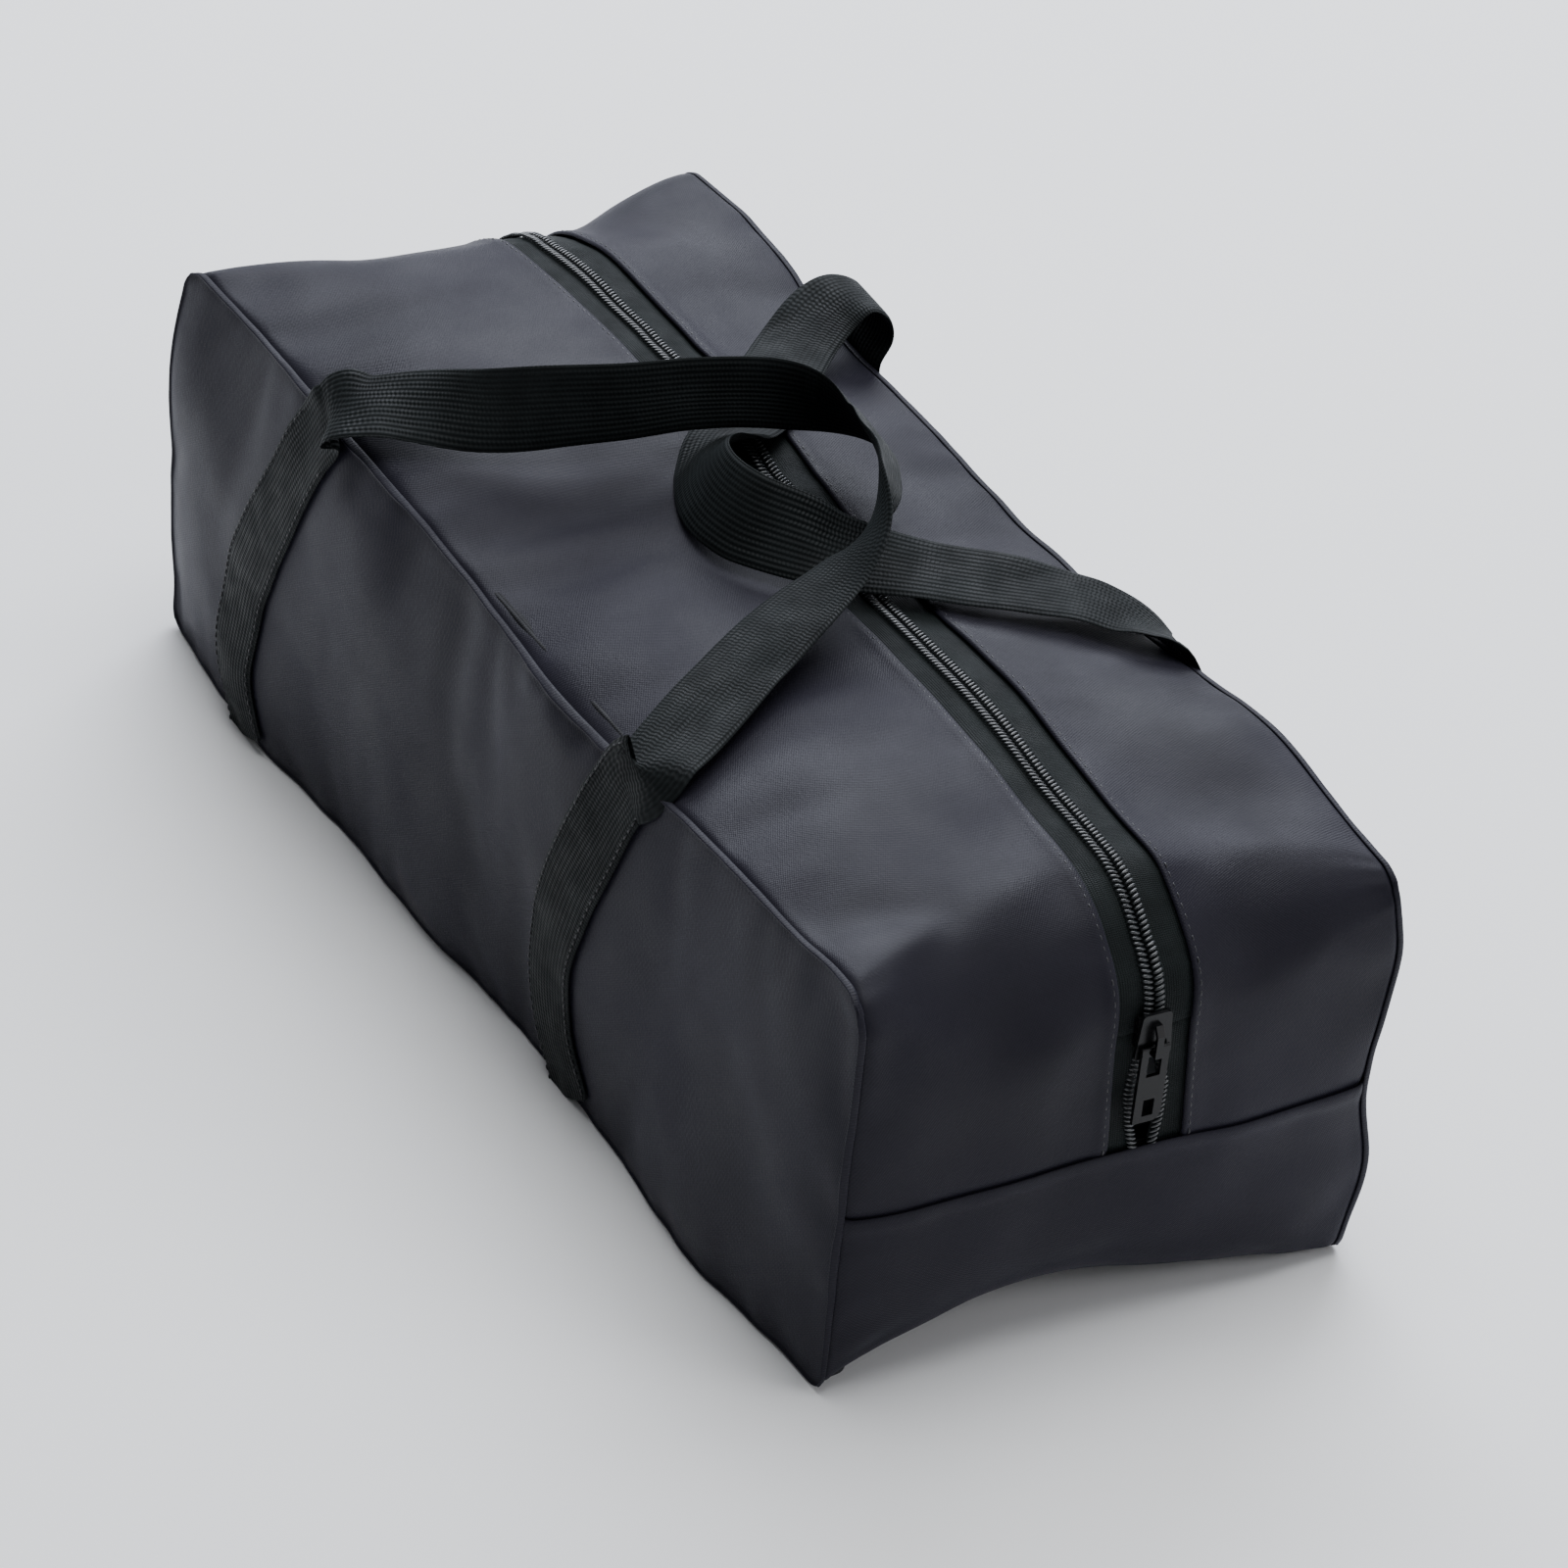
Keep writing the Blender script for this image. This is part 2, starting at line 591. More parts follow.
def top_panel(name, side, node):
    """Cloth from one side seam to the zip, from the front cross seam over the top to the rear one."""
    s_end = loop_length(TOP_CELLS)
    ss = spaced(s_end, [-0.6, 0.4, 1.4, 3.0, 6.0])
    ts = t_of_length(np.clip(ss, 0, None)) + np.minimum(ss, 0) * 0.2
    edge = zip_x(ts) + (15.0 if side > 0 else -13.0)
    seam = side * (HALF - 0.4)
    width = np.abs(seam - edge)
    share = spaced(1.0, [0.0, 0.008, 0.02, 0.036, 0.06], 0.055)
    x = seam + (edge - seam)[:, None] * share[None]
    d_seam, d_zip = share[None] * width[:, None], (1 - share[None]) * width[:, None]
    lift = (-2.1 * np.exp(-(d_seam / 1.5) ** 2)
            + 0.9 * (1 - rise(d_zip, 3.6, 5.2)) * rise(d_zip, 0.1, 1.0) - 0.5 * np.exp(-(d_zip / 0.35) ** 2)
            - 0.55 * bump(d_zip, 2.4, 0.7))
    ends = np.minimum(ss - ss[0], ss[-1] - ss)[:, None]
    lift = lift - 1.1 * (1 - rise(ends, 0.5, 5.0))
    lift = lift + pucker(d_seam, ss[:, None], 1.0 + side) + pucker(d_zip, ss[:, None], 4.0 + side, 0.3, 9.0)
    pts = follow(band(ts[:, None], x, lift)).reshape(-1, 3)
    faces = quads(len(ts), x.shape[1])
    faces = face_out(pts, faces, 60 * (x.shape[1] - 1) + 8)
    lay = np.stack([d_seam, np.broadcast_to(ss[:, None], d_seam.shape)], -1)
    ob = piece(name, pts, faces, CLOTH_MAT, lay, PANEL_THICK, 1)
    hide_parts(node)
    return ob


def base_cloth():
    """Cloth under the bag and up both ends to the cross seams."""
    s0, s1 = loop_length(TOP_CELLS), loop_length(LOOP)
    ss = s0 + spaced(s1 - s0, [-1.2, -0.5, 0.6, 2.0, 3.6, 6.0])
    ts = t_of_length(ss)
    share = spaced(1.0, [0.0, 0.005, 0.011, 0.019, 0.032], 0.026)
    seam = HALF - 0.4
    x = np.broadcast_to((-seam + 2 * seam * share)[None], (len(ts), len(share)))
    d_seam = seam - np.abs(x)
    ends = np.minimum(ss - ss[0], ss[-1] - ss)[:, None]
    lift = -2.1 * np.exp(-(d_seam / 1.5) ** 2)
    lift = lift + 1.0 * (1 - rise(ends, 3.0, 6.5)) - 0.7 * np.exp(-(ends / 0.5) ** 2)
    lift = lift + pucker(d_seam, ss[:, None], 2.5) + pucker(ends, x, 5.0, 0.3, 8.0)
    pts = follow(band(ts[:, None], x, lift)).reshape(-1, 3)
    faces = face_out(pts, quads(len(ts), len(share)), 8)
    lay = np.stack([x, np.broadcast_to(ss[:, None], x.shape)], -1)
    ob = piece("base_cloth", pts, faces, CLOTH_MAT, lay, PANEL_THICK, 1)
    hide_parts("base_panel")
    return ob


def side_cloth(name, side, node):
    """One long side, with the ridge of its turned-in seam all round."""
    fine = [0.0, 0.7, 1.5, 2.6, 4.0, 6.0]
    us = spaced(2 * END, fine) / (2 * END)
    vs = spaced(EDGE, fine) / EDGE
    yz = coons(us, vs)
    y, z = yz[..., 0], yz[..., 1]
    du = np.minimum(us, 1 - us)[:, None] * 2 * END
    dv = np.minimum(vs, 1 - vs)[None] * EDGE
    d = np.minimum(du, dv)
    ridge = -1.7 * np.exp(-(d / 0.6) ** 2) + 1.0 * bump(d, 1.9, 1.0) - 0.4 * bump(d, 4.6, 1.1)
    gather = pucker(dv, y, 3.0 + side, 0.5) + pucker(du, z, 6.0 + side, 0.4)
    x = side * (HALF + side_swell(y, z) + ridge + gather)
    plain = np.stack([x, y, z], -1)
    pts = follow(plain).reshape(-1, 3)
    faces = face_out(pts, quads(len(us), len(vs)), 40 * (len(vs) - 1) + 12)
    ob = piece(name, pts, faces, CLOTH_MAT, np.stack([y, z], -1), PANEL_THICK, 1)
    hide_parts(node)
    return ob


top_panel("top_cloth_left", -1, "top_panel_left")
top_panel("top_cloth_right", 1, "top_panel_right")
base_cloth()
side_cloth("side_cloth_left", -1, "left_side_panel")
side_cloth("side_cloth_right", 1, "right_side_panel")


# ---------------------------------------------------------------- webbing
def smooth_path(stations, step):
    """Evenly spaced middles and width directions through the stations."""
    p = np.array([s[0] for s in stations], float)
    w = np.array([s[1] for s in stations], float)
    w /= np.linalg.norm(w, axis=1, keepdims=True)
    data = np.c_[p, w]
    data = np.r_[2 * data[:1] - data[1:2], data, 2 * data[-1:] - data[-2:-1]]
    out = []
    for k in range(1, len(data) - 2):
        a, b, c, d = data[k - 1:k + 3]
        for f in np.arange(0, 1, 1 / 24):
            out.append(0.5 * (2 * b + (c - a) * f + (2 * a - 5 * b + 4 * c - d) * f ** 2
                              + (3 * b - a - 3 * c + d) * f ** 3))
    out.append(data[-2])
    out = np.array(out)
    s = np.r_[0, np.cumsum(np.linalg.norm(np.diff(out[:, :3], axis=0), axis=1))]
    n = int(round(s[-1] / step))
    even = np.linspace(0, s[-1], n + 1)
    got = np.stack([np.interp(even, s, out[:, k]) for k in range(6)], -1)
    return got[:, :3], got[:, 3:], even


def leg_stations(side, middles):
    """Middles and widths of the strap sewn to a side panel, from the base up; middles holds (z, y)."""
    heights = (1.0, 10, 20, 30, 42, 55, 68, 80, 95, 110, 125, 138, 146, 151)
    ys = np.interp(heights, [z for z, y in middles], [y for z, y in middles])
    ys[1:-1] = (ys[:-2] + 2 * ys[1:-1] + ys[2:]) / 4
    slopes = np.gradient(ys, heights)
    return [((side * (HALF + side_swell(y, z) + WEB_THICK / 2 + 0.35), float(y), z), (0, 1, float(-k)))
            for y, z, k in zip(ys, heights, slopes)]


LEFT_LOOP = [
    ((-101.6, 128, 156.6), (0, 1, 0)), ((-103, 127, 161), (0.1, 0.99, 0)),
    ((-98, 118, 165), (0.35, 0.93, 0.05)), ((-84, 107, 168.5), (0.42, 0.85, 0.25)),
    ((-66, 87, 175.5), (0.2, 0.5, 0.85)), ((-46, 72, 182), (0.03, 0.26, 0.97)),
    ((-23, 62.5, 184), (0, 0.2, 0.98)), ((1, 56, 185), (0, 0.22, 0.98)),
    ((26, 46.5, 185.5), (-0.1, 0.2, 0.97)), ((42, 33, 186), (-0.45, 0.05, 0.89)),
    ((47.8, 16.5, 186), (-0.65, -0.18, 0.74)), ((43, 2, 188), (-0.64, -0.36, 0.68)),
    ((33.5, -17, 191.5), (-0.57, -0.51, 0.64)), ((24, -31, 192), (-0.5, -0.63, 0.59)),
    ((15.7, -42, 191), (-0.44, -0.77, 0.44)), ((5.9, -51.5, 187.5), (-0.25, -0.9, 0.3)),
    ((-6, -57.5, 181.5), (-0.05, -0.97, 0.22)), ((-22, -64, 176), (0.05, -0.99, 0.1)),
    ((-45, -75, 170.5), (0.18, -0.98, 0.03)), ((-73, -91, 165), (0.25, -0.96, -0.05)),
    ((-96, -103, 160.8), (0.15, -0.98, 0)), ((-101.6, -105, 156.6), (0, -1, 0))]
RIGHT_LOOP = [
    ((101.6, 112, 156.6), (0, 1, 0)), ((106, 112, 164.5), (0, 1, 0)), ((104.5, 112, 173.5), (0, 1, 0)),
    ((96, 113.5, 177), (-0.2, 0.97, 0)), ((84, 112, 173), (-0.5, 0.86, 0)),
    ((70, 104, 167), (-0.6, 0.8, 0)), ((56, 91, 164.4), (-0.62, 0.78, 0)),
    ((34, 69, 164.2), (-0.6, 0.8, 0)), ((17, 55, 165.6), (-0.6, 0.78, -0.15)),
    ((4, 45, 168.5), (-0.65, 0.55, -0.5)), ((-11, 28, 174.5), (-0.6, 0.05, -0.78)),
    ((-16.5, 10, 177), (-0.55, -0.15, -0.82)), ((-13, -8, 177.5), (-0.48, -0.4, -0.78)),
    ((0.5, -23, 175.5), (-0.43, -0.62, -0.65)), ((14, -32, 171.8), (-0.47, -0.75, -0.42)),
    ((39, -47, 168.8), (-0.41, -0.88, -0.2)), ((59, -63, 168), (-0.41, -0.88, -0.2)),
    ((75, -77, 166.5), (-0.3, -0.93, -0.15)), ((91, -90, 162.4), (-0.15, -0.97, -0.1)),
    ((98.5, -100, 158.6), (0, -1, 0)), ((101.6, -104, 156.6), (0, -1, 0))]


def section():
    """Cross-section of the webbing: (across, up) from -1 to 1, rounded at its two selvedges."""
    across = np.linspace(-1, 1, 17)
    rim = 1 - 0.75 * np.clip((np.abs(across) - 0.93) / 0.07, 0, 1) ** 2
    top = [(a * (1 if abs(a) < 1 else 0.995), r) for a, r in zip(across, rim)]
    return np.array(top + [(1.0, 0.0)] + [(a, -r) for a, r in reversed(top)] + [(-1.0, 0.0)])


def strap(name, side, rear, loop, front, nodes):
    """One length of webbing: up one leg, round the handle loop and down the other leg."""
    up = leg_stations(side, rear)
    down = [(p, (0, -1, -w[2])) for p, w in leg_stations(side, front)][::-1]
    mid, wide, s = smooth_path(up + loop + down, STRAP_STEP)
    run = np.gradient(mid, axis=0)
    run /= np.linalg.norm(run, axis=1, keepdims=True)
    # the width direction is kept square to the run and smoothed, so that the cloth turns over gradually
    for _ in range(3):
        wide -= run * (wide * run).sum(1, keepdims=True)
        wide /= np.linalg.norm(wide, axis=1, keepdims=True)
        wide[1:-1] = (wide[:-2] + wide[1:-1] * 2 + wide[2:]) / 4
    wide -= run * (wide * run).sum(1, keepdims=True)
    wide /= np.linalg.norm(wide, axis=1, keepdims=True)
    up_dir = np.cross(run, wide)
    prof = section()
    bow = 0.5 * np.sin(s / 37.0)[:, None] * (1 - prof[None, :, 0] ** 2)
    pts = (mid[:, None] + wide[:, None] * (prof[None, :, :1] * WEB_WIDTH / 2)
           + up_dir[:, None] * (prof[None, :, 1:] * WEB_THICK / 2 + bow[..., None] * 0.6))
    pts = follow(pts, (8.0, 30.0))
    pts = off_the_cloth(pts)
    n, m = pts.shape[:2]
    faces = [(i * m + j, i * m + (j + 1) % m, (i + 1) * m + (j + 1) % m, (i + 1) * m + j)
             for i in range(n - 1) for j in range(m)]
    faces += [tuple(range(m))[::-1], tuple((n - 1) * m + j for j in range(m))]
    flat = pts.reshape(-1, 3)
    k = (n // 2) * m + 3
    q = faces[k]
    nrm = np.cross(flat[q[1]] - flat[q[0]], flat[q[2]] - flat[q[0]])
    centre = pts[n // 2].mean(0)
    if nrm @ (flat[list(q)].mean(0) - centre) < 0:
        faces = [f[::-1] for f in faces]
    lay = np.stack([np.broadcast_to(prof[None, :, 0] * WEB_WIDTH / 2, (n, m)),
                    np.broadcast_to(s[:, None], (n, m))], -1)
    ob = piece(name, flat, faces, WEB_MAT, lay, 0, 1, body=None)
    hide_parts(*nodes)
    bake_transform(ob)
    return pts


def off_the_cloth(pts, gap=0.5):
    """Lifts a strap's sections wherever they would lie in the cloth."""
    need = np.zeros(len(pts))
    way = np.zeros((len(pts), 3))
    for i, ring in enumerate(pts):
        for p in ring:
            hit, normal, depth = outside(p)
            need[i] = max(need[i], gap - depth)
            way[i] += np.array(normal) / (1 + max(0.0, depth)) ** 2
    size = np.linalg.norm(way, axis=1, keepdims=True)
    way = np.where(size > 1e-6, way / np.maximum(size, 1e-6), 0)
    push = need[:, None] * way
    for _ in range(2):
        pad = np.r_[push[:1], push, push[-1:]]
        push = np.where(np.linalg.norm(push, axis=1, keepdims=True)
                        >= np.linalg.norm((pad[:-2] + pad[2:]) / 2, axis=1, keepdims=True),
                        push, (pad[:-2] + pad[2:]) / 2)
    return pts + push[:, None]


LEFT_PTS = strap("left_strap", -1, [(0, 166), (28, 177), (66, 172), (154, 130)], LEFT_LOOP,
                 [(0, -76), (28, -61), (53, -63), (100, -77), (154, -98)],
                 ["left_rear_webbing", "left_handle_loop", "left_front_webbing"])
RIGHT_PTS = strap("right_strap", 1, [(0, 118), (154, 112)], RIGHT_LOOP, [(0, -106), (154, -104)],
                  ["right_rear_webbing", "right_handle_loop", "right_front_webbing"])


# ---------------------------------------------------------------- zip
GAP_Z = [60, 64, 72, 82, 96, 109, 112, 115, SLIDER_Z, 200]
GAP = [1.0, 1.2, 1.7, 3.6, 4.8, 2.2, 1.6, 1.3, 0.15, 0.15]
SLIDER_T = float(np.interp(SLIDER_Z, at(MID_LOOP, np.arange(FACE + 2.0))[:, 1], np.arange(FACE + 2.0)))


def chain_gap(t):
    """Half the space between the two rows of teeth at loop index t."""
    t = np.asarray(t, float)
    z = at(MID_LOOP, t)[..., 1]
    return np.where(t < FACE + 1, np.interp(z, GAP_Z, GAP), GAP[-1])


def tape(name, side, t0, t1, node):
    s0, s1 = loop_length(t0), loop_length(t1)
    ss = np.linspace(s0, s1, int((s1 - s0) / 3) + 2)
    ts = t_of_length(ss)
    mid, gap = zip_x(ts), chain_gap(ts)
    outer = 19.5 if side > 0 else 17.5
    share = np.linspace(0, 1, 12)
    x = mid[:, None] + side * (gap[:, None] + 0.4 + (outer - gap[:, None] - 0.4) * share[None])
    lift = -1.3 - 0.5 * rise(share[None], 0.5, 0.9) + 0.12 * np.sin(share[None] * 9 + ss[:, None] / 19)
    pts = follow(band(ts[:, None], x, lift)).reshape(-1, 3)
    faces = face_out(pts, quads(len(ts), len(share)), len(ts) // 2 * 11)
    lay = np.stack([x - mid[:, None], np.broadcast_to(ss[:, None], x.shape)], -1)
    ob = piece(name, pts, faces, TAPE_MAT, lay, 0.5, 0, body=None)
    if node:
        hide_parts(node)
    return ob


def tooth(pitch):
    """One turn of coil lying across the tape, from the outer edge (0) to the middle (1): points and faces."""
    rings, around = 7, 8
    pts, faces = [], []
    for i in range(rings):
        f = i / (rings - 1)
        r = 0.62 * (0.72 + 0.28 * math.sin(math.pi * min(1, f * 1.15))) * (0.55 if i in (0, rings - 1) else 1)
        across = 3.75 * (1 - f) + 0.12
        along = 0.55 * pitch * f
        up = 0.95 + 0.35 * math.sin(math.pi * (0.15 + 0.75 * f))
        for j in range(around):
            a = 2 * math.pi * j / around
            pts.append((across, along + r * 1.05 * math.cos(a), up + r * math.sin(a)))
    for i in range(rings - 1):
        for j in range(around):
            faces.append((i * around + j, i * around + (j + 1) % around, (i + 1) * around + (j + 1) % around,
                          (i + 1) * around + j))
    faces += [tuple(range(around))[::-1], tuple((rings - 1) * around + j for j in range(around))]
    return np.array(pts), faces


def coil(name, side, t0, t1, node):
    pitch = 1.9
    shape, shape_faces = tooth(pitch)
    s0, s1 = loop_length(t0), loop_length(t1)
    count = int((s1 - s0) / pitch)
    parts, faces = [], []
    for k in range(count):
        s = s0 + (k + (0.5 if side > 0 else 0.0)) * pitch
        ts = t_of_length(s - shape[:, 1])
        x = zip_x(ts) + side * (shape[:, 0] + chain_gap(ts))
        base = k * len(shape)
        parts.append((ts, x, shape[:, 2] - 1.35))
        faces += [tuple(base + i for i in f) for f in shape_faces]
    ts, x, up = (np.concatenate([p[k] for p in parts]) for k in range(3))
    pts = band_each(ts, x, up)
    if side > 0:
        faces = [f[::-1] for f in faces]
    ob = piece(name, follow(pts), faces, COIL_MAT, None, 0, 0, body=None)
    if node:
        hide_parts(node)
    return ob


def band_each(ts, xs, lifts):
    """band() with its own lift for every point, always away from the bag's inside."""
    p = band(ts, xs)
    along = band(ts + 0.3, xs) - band(ts - 0.3, xs)
    across = band(ts, xs + 0.5) - band(ts, xs - 0.5)
    n = np.cross(across, along)
    n /= np.linalg.norm(n, axis=-1, keepdims=True)
    out = np.stack([np.zeros(len(p)), p[:, 1] / END, (p[:, 2] - EDGE / 2) / EDGE * 2], -1)
    n *= np.sign((n * out).sum(1, keepdims=True))
    return p + n * np.asarray(lifts)[:, None]


def threads(name, runs, body="bag", length=2.7, space=1.0, radius=0.28):
    """Rows of stitches: each run is a line of points lying on finished cloth, with its normals."""
    pts, faces = [], []
    ring = 6
    for line, normal in runs:
        s = np.r_[0, np.cumsum(np.linalg.norm(np.diff(line, axis=0), axis=1))]
        for k in range(int(s[-1] / (length + space))):
            a = k * (length + space)
            sub = np.linspace(a, a + length, 5)
            mid = np.stack([np.interp(sub, s, line[:, c]) for c in range(3)], -1)
            nrm = np.stack([np.interp(sub, s, normal[:, c]) for c in range(3)], -1)
            nrm /= np.linalg.norm(nrm, axis=1, keepdims=True)
            run = mid[-1] - mid[0]
            run /= max(1e-9, np.linalg.norm(run))
            cross = np.cross(nrm, run)
            base = len(pts)
            for i in range(5):
                r = radius * (0.5, 0.95, 1, 0.95, 0.5)[i]
                up = (-0.25, 0.1, 0.2, 0.1, -0.25)[i]
                for j in range(ring):
                    a2 = 2 * math.pi * j / ring
                    pts.append(mid[i] + nrm[i] * (up + r * math.sin(a2)) + cross[i] * r * math.cos(a2))
            for i in range(4):
                for j in range(ring):
                    faces.append((base + i * ring + j, base + i * ring + (j + 1) % ring,
                                  base + (i + 1) * ring + (j + 1) % ring, base + (i + 1) * ring + j))
            faces += [tuple(base + j for j in range(ring))[::-1],
                      tuple(base + 4 * ring + j for j in range(ring))]
    return piece(name, np.array(pts), faces, THREAD_MAT, body=body)


ZIP_TOP = TOP_CELLS - 0.4
for side, word in ((-1, "left"), (1, "right")):
    upper_tape = tape(f"zip_tape_{word}_closed", side, SLIDER_T, ZIP_TOP, f"zip_tape_{word}")
    upper_coil = coil(f"zip_coil_{word}_closed", side, SLIDER_T, ZIP_TOP, f"zip_coil_{word}")
    lower_tape = tape(f"zip_tape_{word}_open", side, -0.6, SLIDER_T, None)
    lower_coil = coil(f"zip_coil_{word}_open", side, -0.6, SLIDER_T, None)
    for ob in (upper_tape, upper_coil):
        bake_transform(ob)
    for ob in (lower_tape, lower_coil):
        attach(ob, "bag")
        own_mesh(ob)


def cloth_line(side, off, t0, t1, lift):
    s = np.arange(loop_length(t0), loop_length(t1), 2.0)
    ts = t_of_length(s)
    x = zip_x(ts) + side * off
    a = follow(band_each(ts, x, np.full(len(ts), lift)))
    b = follow(band_each(ts, x, np.full(len(ts), lift + 1)))
    return a, b - a


threads("zip_stitching", [cloth_line(-1, 15.4, 0.3, TOP_CELLS - 0.3, 0.35),
                          cloth_line(1, 17.4, 0.3, TOP_CELLS - 0.3, 0.35)])


def leg_line(pts, across, z_hi, first):
    """A stitch line along a strap's leg, lying on its outer face."""
    m = pts.shape[1]
    j = int(round((across + 1) * 8))
    outer = pts[:, j]
    other = pts[:, m - 2 - j]
    if abs(outer[4, 0]) < abs(other[4, 0]):
        outer, other = other, outer
    rows = [i for i in range(len(pts)) if pts[i].mean(0)[2] < z_hi and (i < len(pts) / 2) == first]
    return outer[rows], (outer - other)[rows] / WEB_THICK


for word, strap_pts in (("left", LEFT_PTS), ("right", RIGHT_PTS)):
    threads(f"{word}_strap_stitching", [leg_line(strap_pts, a, LEG_STITCH_TOP, f)
                                        for a in (-0.88, 0.88) for f in (True, False)])

# ---------------------------------------------------------------- slider and tab keep their CAD shape
for node in ("zip_slider_body", "zip_pull_tab"):
    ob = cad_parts[node]
    ob.data.materials.clear()
    ob.data.materials.append(METAL_MAT)
    b = ob.modifiers.new("soft_edges", "BEVEL")
    b.width, b.segments, b.limit_method, b.angle_limit = 0.00025, 2, "ANGLE", math.radians(35)


# ---------------------------------------------------------------- inside: bindings, pouches, sand, closures
def pillow(name, node, material, shrink, seed, power=5.0, swell=1.0):
    """A closed soft block filling a CAD solid's box, with slack wrinkles."""
    lo, hi = box_mm(node)
    mid, half = (lo + hi) / 2, (hi - lo) / 2 - shrink
    n = 30
    pts, faces = [], []
    lon = 2 * n
    for i in range(n + 1):
        th = math.pi * i / n
        for j in range(lon):
            ph = 2 * math.pi * j / lon
            d = np.array([math.sin(th) * math.cos(ph), math.sin(th) * math.sin(ph), math.cos(th)])
            r = (np.abs(d) ** power).sum() ** (-1 / power)
            pts.append(d * r)
    unit = np.array(pts)
    wave = (np.sin(unit[:, 0] * 7 + seed) * np.sin(unit[:, 1] * 9 + 2 * seed) * np.sin(unit[:, 2] * 6 + seed)
            + 0.4 * np.sin(unit[:, 0] * 19 + unit[:, 1] * 15 + seed))
    flat = mid + unit * half * (1 - 0.012 * swell * (1 + wave))[:, None]
    for i in range(n):
        for j in range(lon):
            faces.append((i * lon + j, (i + 1) * lon + j,
                          (i + 1) * lon + (j + 1) % lon, i * lon + (j + 1) % lon))
    ob = piece(name, flat, faces, material, None, 0, 0)
    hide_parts(node)
    return ob


for k, word in enumerate(("front", "middle", "rear")):
    film = pillow(f"{word}_film_pouch", f"{word}_pouch", FILM_MAT, 1.0, k + 1.0)
    sand = pillow(f"{word}_loose_sand", f"{word}_sand_fill", SAND_MAT, 3.5, k + 1.0)
    lo, hi = box_mm(f"{word}_pouch_closure")
    us, vs = np.linspace(0, 1, 40), np.linspace(0, 1, 12)
    x = lo[0] + (hi[0] - lo[0]) * us[:, None] + 0 * vs[None]
    y = lo[1] + (hi[1] - lo[1]) * vs[None] + 0 * us[:, None]
    z = (hi[2] - 0.4 - (hi[2] - lo[2] - 1.8) * np.abs(2 * us[:, None] - 1) ** 2.2
         + 0.15 * np.sin(vs[None] * 20))
    flap = piece(f"{word}_closure_flap", np.stack([x, y, z], -1).reshape(-1, 3), quads(len(us), len(vs)),
                 HOOK_MAT, np.stack([x, y], -1), 1.0, 1)
    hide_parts(f"{word}_pouch_closure")

for side, word in ((-1, "left"), (1, "right")):
    # folded tape over the raw edges, inside the side seam
    loop = outline(END - 5.5, EDGE - 5.0, 12.0, 8.0)
    n = len(loop)
    cross = np.array([(8.0, 0.0), (4.0, 0.7), (0.0, 0.9), (-0.9, 0.0), (0.0, -0.9), (4.0, -0.7)])
    pts = []
    for i, (y, z) in enumerate(loop):
        out = np.array([y, z]) - np.clip(np.array([y, z]), [-END + 40, 40], [END - 40, EDGE - 40])
        out /= max(1e-9, np.linalg.norm(out))
        for inw, up in cross:
            wob = 0.25 * math.sin(i * 0.9 + inw)
            pts.append((side * (95.0 - inw), y + out[0] * (up + wob), z + out[1] * (up + wob)))
    m = len(cross)
    faces = [(i * m + j, i * m + (j + 1) % m, (i + 1) % n * m + (j + 1) % m, (i + 1) % n * m + j)
             for i in range(n) for j in range(m)]
    lay = [(c[0], i * 5.0) for i in range(n) for c in cross]
    ob = piece(f"{word}_edge_binding", np.array(pts), faces, BINDING_MAT, lay, 0, 1)
    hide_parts(f"{word}_seam_binding")
for word in ("front", "rear"):
    lo, hi = box_mm(f"{word}_seam_binding")
    us = np.linspace(lo[0], hi[0], 60)
    ring = [(0.0, 0.0), (1.0, 0.5), (1.0, 5.0), (0.8, 10.0),
            (0.0, 10.8), (-0.8, 10.0), (-0.9, 5.0), (-0.9, 0.5)]
    y0 = (lo[1] + hi[1]) / 2
    pts = [(x, y0 + a * 0.9 + 0.1 * math.sin(x / 3), lo[2] + 0.2 + b) for x in us for a, b in ring]
    m = len(ring)
    faces = [(i * m + j, i * m + (j + 1) % m, (i + 1) * m + (j + 1) % m, (i + 1) * m + j)
             for i in range(len(us) - 1) for j in range(m)]
    lay = [(b, x) for x in us for a, b in ring]
    ob = piece(f"{word}_edge_binding", np.array(pts), faces, BINDING_MAT, lay, 0, 1)
    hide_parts(f"{word}_seam_binding")

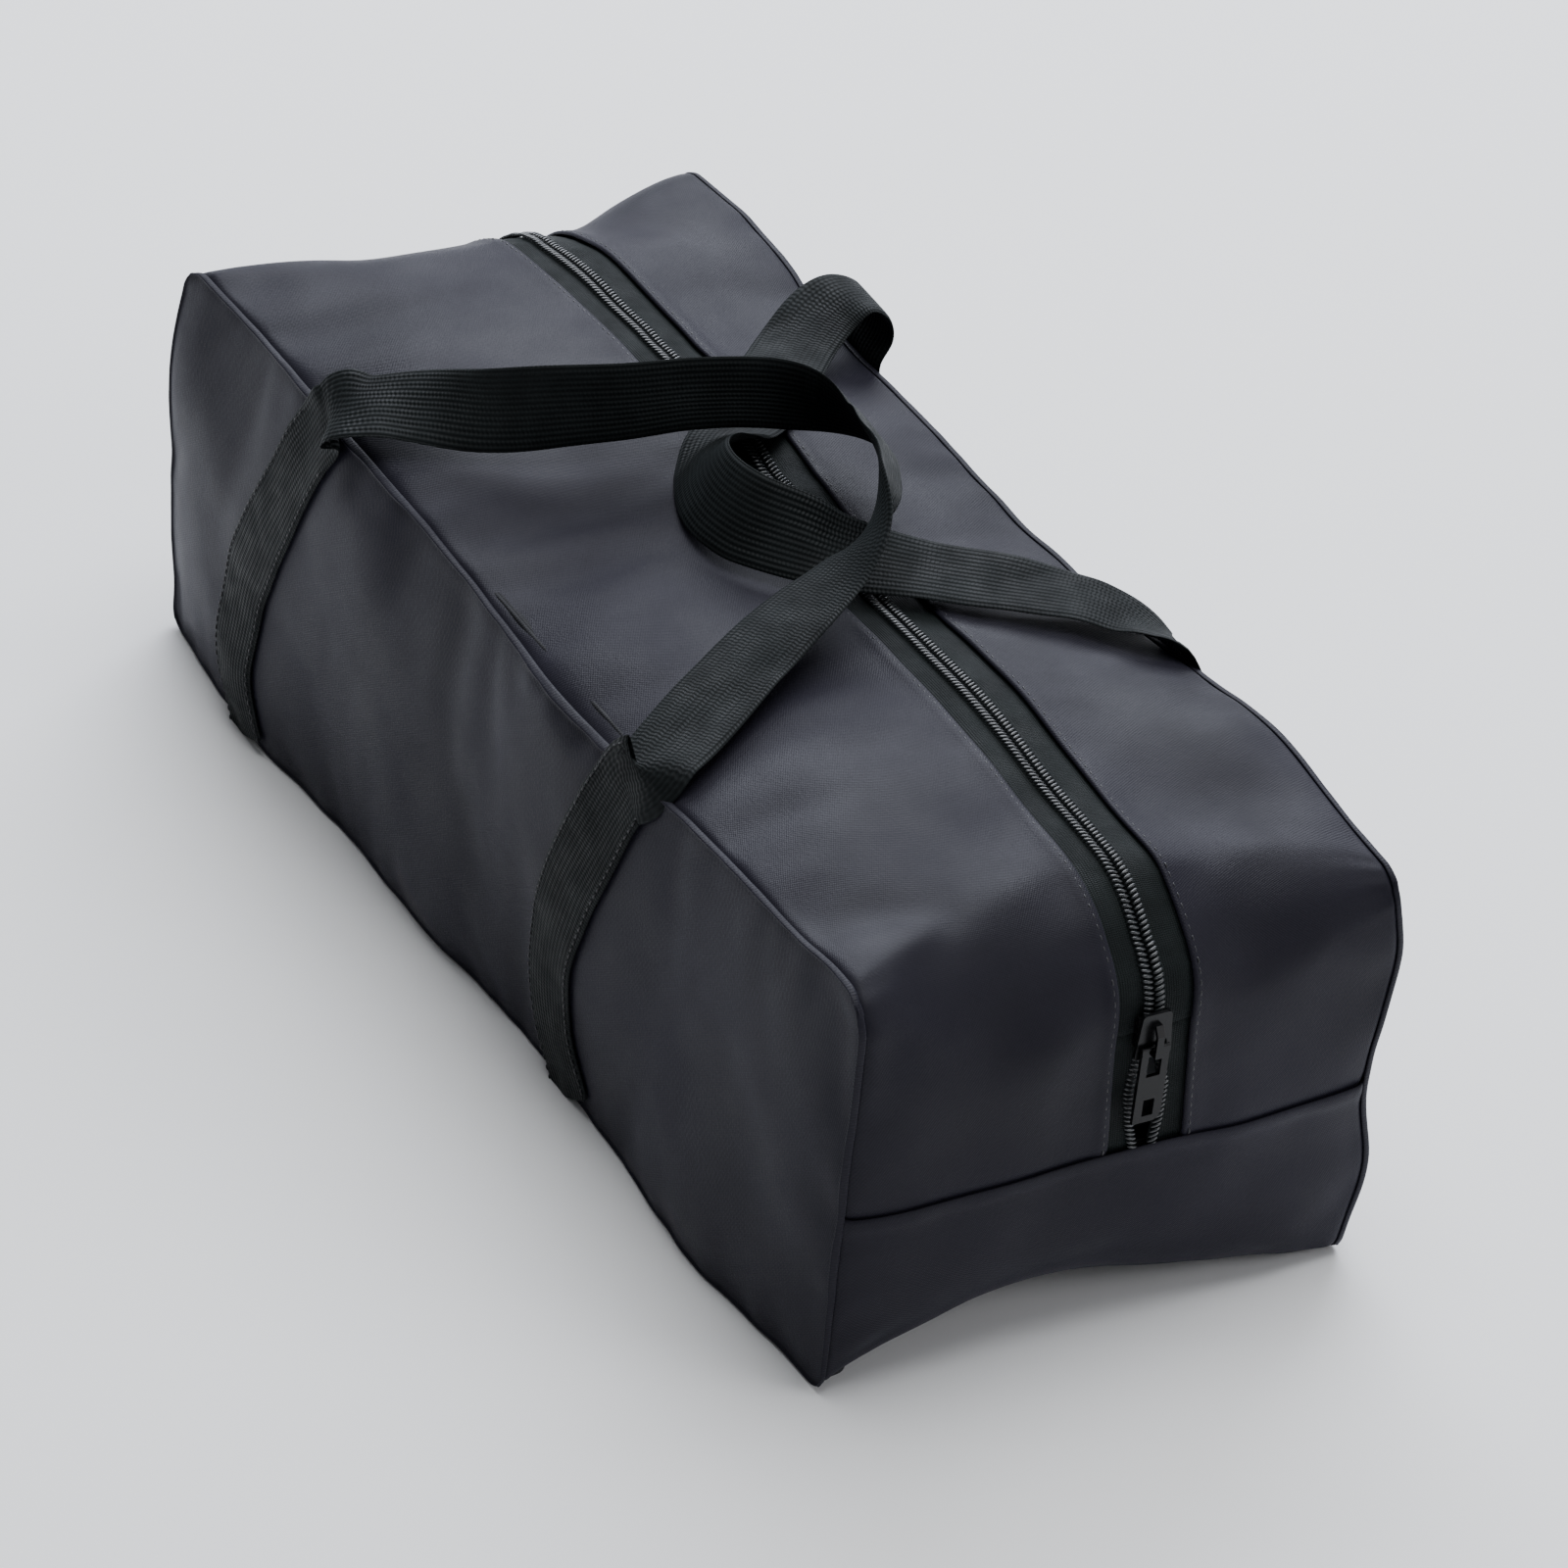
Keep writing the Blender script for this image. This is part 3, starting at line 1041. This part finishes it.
# ---------------------------------------------------------------- floor, light, camera
floor_mat = bpy.data.materials.new("pale_floor")
floor_mat.use_nodes = True
floor_mat.node_tree.nodes["Principled BSDF"].inputs["Base Color"].default_value = (0.93, 0.93, 0.93, 1)
floor_mat.node_tree.nodes["Principled BSDF"].inputs["Roughness"].default_value = 0.9
floor = bpy.data.objects.new("floor", new_mesh("floor", [(-9000, -9000, 0), (9000, -9000, 0), (9000, 9000, 0),
                                                         (-9000, 9000, 0)], [(0, 1, 2, 3)]))
floor.data.materials.append(floor_mat)
bpy.context.scene.collection.objects.link(floor)

world = bpy.data.worlds.new("studio") if bpy.context.scene.world is None else bpy.context.scene.world
bpy.context.scene.world = world
world.use_nodes = True
world.node_tree.nodes["Background"].inputs["Color"].default_value = (0.95, 0.97, 1.0, 1)
world.node_tree.nodes["Background"].inputs["Strength"].default_value = 0.17


def area(name, place, aim, size, power, color=(1, 1, 1)):
    data = bpy.data.lights.new(name, "AREA")
    data.energy, data.shape, data.size, data.size_y, data.color = power, "RECTANGLE", size[0], size[1], color
    ob = bpy.data.objects.new(name, data)
    bpy.context.scene.collection.objects.link(ob)
    ob.location = place
    ob.rotation_euler = (Vector(aim) - Vector(place)).to_track_quat("-Z", "Y").to_euler()
    return ob


area("window", (1.25, 2.1, 1.9), (0, 0, 0.1), (2.6, 1.8), 125, (0.86, 0.9, 1.0))
area("overhead", (0.3, 0.2, 2.8), (0, 0, 0.1), (2.2, 2.2), 92, (0.95, 0.97, 1.0))
area("fill", (1.6, -1.9, 1.3), (0, -0.1, 0.1), (1.4, 1.4), 20, (0.97, 0.97, 1.0))

az, el, roll, dist = (math.radians(-32.6), math.radians(33.54), math.radians(6.54), 2.375)
target = Vector((-0.0019, -0.0326, 0.080))
back = Vector((math.sin(az) * math.cos(el), -math.cos(az) * math.cos(el), math.sin(el)))
right = (-back).cross(Vector((0, 0, 1))).normalized()
up = right.cross(-back)
cam_x = right * math.cos(roll) + up * math.sin(roll)
cam_y = -right * math.sin(roll) + up * math.cos(roll)
data = bpy.data.cameras.new("camera")
data.sensor_width, data.lens, data.clip_end = 36, 157.5, 60
cam = bpy.data.objects.new("camera", data)
bpy.context.scene.collection.objects.link(cam)
turned = Matrix((cam_x, cam_y, back)).transposed().to_4x4()
cam.matrix_world = Matrix.Translation(target + back * dist) @ turned
bpy.context.scene.camera = cam
